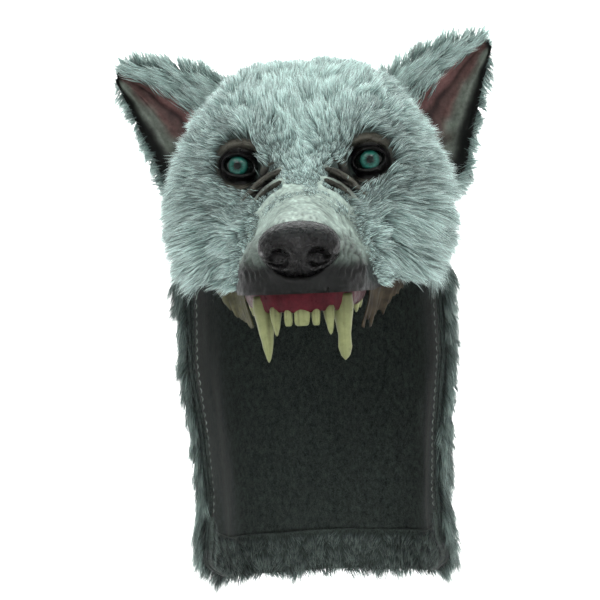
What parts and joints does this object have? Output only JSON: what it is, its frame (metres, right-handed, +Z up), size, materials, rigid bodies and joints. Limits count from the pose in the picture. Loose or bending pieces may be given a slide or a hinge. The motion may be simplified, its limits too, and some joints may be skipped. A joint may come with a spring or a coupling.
{
  "type": "wolf head mask",
  "caption": "Hollow latex wolf head mask worn as a hood, with a furred head, ears, fanged upper jaw and a lined fur drape hanging round the neck",
  "frame": {"origin": "the crown seat, the point inside the hollow head that rests on the top of the wearer's head", "axes": "+Z up, the muzzle points to -Y, the mask's own left side is at +X"},
  "size_m": [0.318, 0.3527, 0.4592],
  "materials": {
    "dark_latex": "painted latex, satin",
    "grey_fur": "long faux fur",
    "ear_latex": "painted latex, matt",
    "teal_eye": "polished",
    "black_nose": "glossy, pebbled",
    "dark_gum": "glossy",
    "ivory_teeth": "satin",
    "drape_fur": "long faux fur",
    "charcoal_felt": "matt felt",
    "hem_fur": "short pile"
  },
  "bodies": {
    "root": {"face_shell": "dark_latex", "head_fur": "grey_fur", "ear_left": "ear_latex", "ear_right": "ear_latex", "ear_fur_left": "grey_fur", "ear_fur_right": "grey_fur", "eye_left": "teal_eye", "eye_right": "teal_eye", "nose": "black_nose", "upper_gum": "dark_gum", "canine_left": "ivory_teeth", "canine_right": "ivory_teeth", "fang_left": "ivory_teeth", "fang_right": "ivory_teeth", "incisor_left": "ivory_teeth", "incisor_middle": "ivory_teeth", "incisor_right": "ivory_teeth", "premolar_left_front": "ivory_teeth", "premolar_left_back": "ivory_teeth", "premolar_right_front": "ivory_teeth", "premolar_right_back": "ivory_teeth", "neck_drape": "drape_fur", "drape_fur": "drape_fur", "drape_lining": "charcoal_felt", "hem_facing": "hem_fur"}
  },
  "joints": []
}
